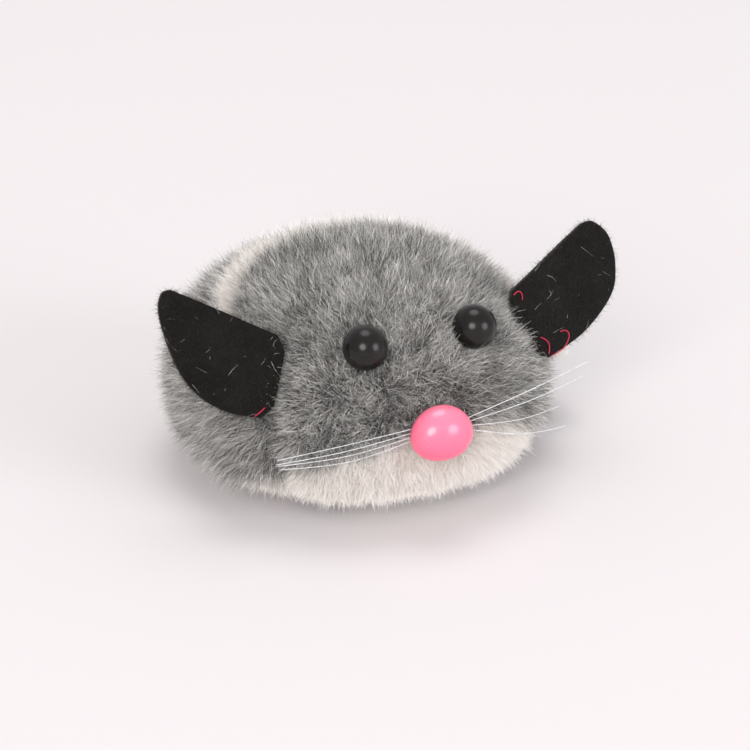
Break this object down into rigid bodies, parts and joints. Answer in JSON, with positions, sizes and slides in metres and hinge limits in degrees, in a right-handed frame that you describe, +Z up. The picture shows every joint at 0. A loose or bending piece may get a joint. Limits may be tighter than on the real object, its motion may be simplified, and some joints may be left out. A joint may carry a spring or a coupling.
{
  "type": "clockwork mouse",
  "caption": "Plush wind-up mouse: pile cover with felt ears, bead eyes and whiskers over a geared spring motor that drives a pair of wheels, with a side key and a rear roller.",
  "frame": {"origin": "on the ground under the middle of the mouse, between the wheels and the roller", "axes": "+Z up, -Y is the way the mouse faces, +X is the mouse's left side, where the key is"},
  "size_m": [0.0862, 0.0716, 0.0428],
  "materials": {
    "grey_plush": "dense heathered grey pile",
    "white_plush": "dense off-white pile",
    "black_felt": "napped felt",
    "wadding": "loose polyester fibre",
    "black_bead": "polished",
    "pink_plastic": "smooth moulded",
    "washer_plastic": "moulded",
    "whisker_nylon": "clear drawn bristle",
    "eyelet_plastic": "moulded",
    "case_plastic": "fine spark texture",
    "screw_steel": "zinc plated",
    "shaft_steel": "drawn",
    "spring_steel": "blued",
    "gear_nylon": "moulded",
    "gear_brass": "stamped",
    "wheel_plastic": "moulded",
    "tyre_rubber": "matt with grip marks",
    "roller_plastic": "moulded",
    "key_plastic": "moulded"
  },
  "bodies": {
    "root": {"head_panel": "grey_plush", "crown_panel": "grey_plush", "stripe_panel": "white_plush", "rump_panel": "grey_plush", "belly_panel": "white_plush", "left_ear": "black_felt", "right_ear": "black_felt", "head_stuffing": "wadding", "body_wadding": "wadding", "left_eye": "black_bead", "right_eye": "black_bead", "nose": "pink_plastic", "left_eye_washer": "washer_plastic", "right_eye_washer": "washer_plastic", "nose_washer": "washer_plastic", "left_whiskers": "whisker_nylon", "right_whiskers": "whisker_nylon", "key_eyelet": "eyelet_plastic", "case_left": "case_plastic", "case_right": "case_plastic", "case_screws": "screw_steel", "click_pin": "shaft_steel", "click_spring": "spring_steel"},
    "winder": {"winding_arbor": "shaft_steel", "ratchet_wheel": "gear_brass", "winding_key": "key_plastic"},
    "click": {"click": "gear_brass"},
    "barrel": {"spring_barrel": "gear_nylon", "barrel_lid": "gear_brass", "mainspring": "spring_steel"},
    "second": {"second_arbor": "shaft_steel", "second_pinion": "gear_nylon", "second_wheel": "gear_nylon"},
    "drive": {"drive_axle": "shaft_steel", "drive_pinion": "gear_nylon", "left_wheel": "wheel_plastic", "right_wheel": "wheel_plastic", "left_tyre": "tyre_rubber", "right_tyre": "tyre_rubber"},
    "third": {"third_arbor": "shaft_steel", "third_pinion": "gear_nylon", "third_wheel": "gear_nylon"},
    "fly": {"fly_arbor": "shaft_steel", "fly_pinion": "gear_nylon", "fly_vane": "gear_nylon"},
    "roller": {"rear_roller": "roller_plastic", "roller_pin": "shaft_steel"}
  },
  "joints": [
    {"name": "winding_turn", "type": "hinge", "parent": "root", "child": "winder", "pos_m": [0.01, 0.0065, 0.0134], "axis": [1, 0, 0], "range_deg": [0, 1800]},
    {"name": "click_lift", "type": "hinge", "parent": "root", "child": "click", "pos_m": [0.01, 0.0012, 0.02018], "axis": [1, 0, 0], "range_deg": [0, 6]},
    {"name": "drive_spin", "type": "hinge", "parent": "root", "child": "drive", "pos_m": [0, -0.00937, 0.0065], "axis": [1, 0, 0], "continuous": true},
    {"name": "barrel_spin", "type": "hinge", "parent": "root", "child": "barrel", "pos_m": [0, 0.0065, 0.0134], "axis": [1, 0, 0], "continuous": true},
    {"name": "second_spin", "type": "hinge", "parent": "root", "child": "second", "pos_m": [0, -0.00337, 0.01178], "axis": [1, 0, 0], "continuous": true},
    {"name": "third_spin", "type": "hinge", "parent": "root", "child": "third", "pos_m": [0, -0.00976, 0.0166], "axis": [1, 0, 0], "continuous": true},
    {"name": "fly_spin", "type": "hinge", "parent": "root", "child": "fly", "pos_m": [0, -0.0158, 0.01135], "axis": [1, 0, 0], "continuous": true},
    {"name": "roller_spin", "type": "hinge", "parent": "root", "child": "roller", "pos_m": [0, 0.0221, 0.005], "axis": [1, 0, 0], "continuous": true}
  ],
  "couplings": [
    {"joint": "barrel_spin", "follows": "drive_spin", "ratio": 0.083333},
    {"joint": "second_spin", "follows": "drive_spin", "ratio": -0.33333},
    {"joint": "third_spin", "follows": "drive_spin", "ratio": 1},
    {"joint": "fly_spin", "follows": "drive_spin", "ratio": -3}
  ]
}
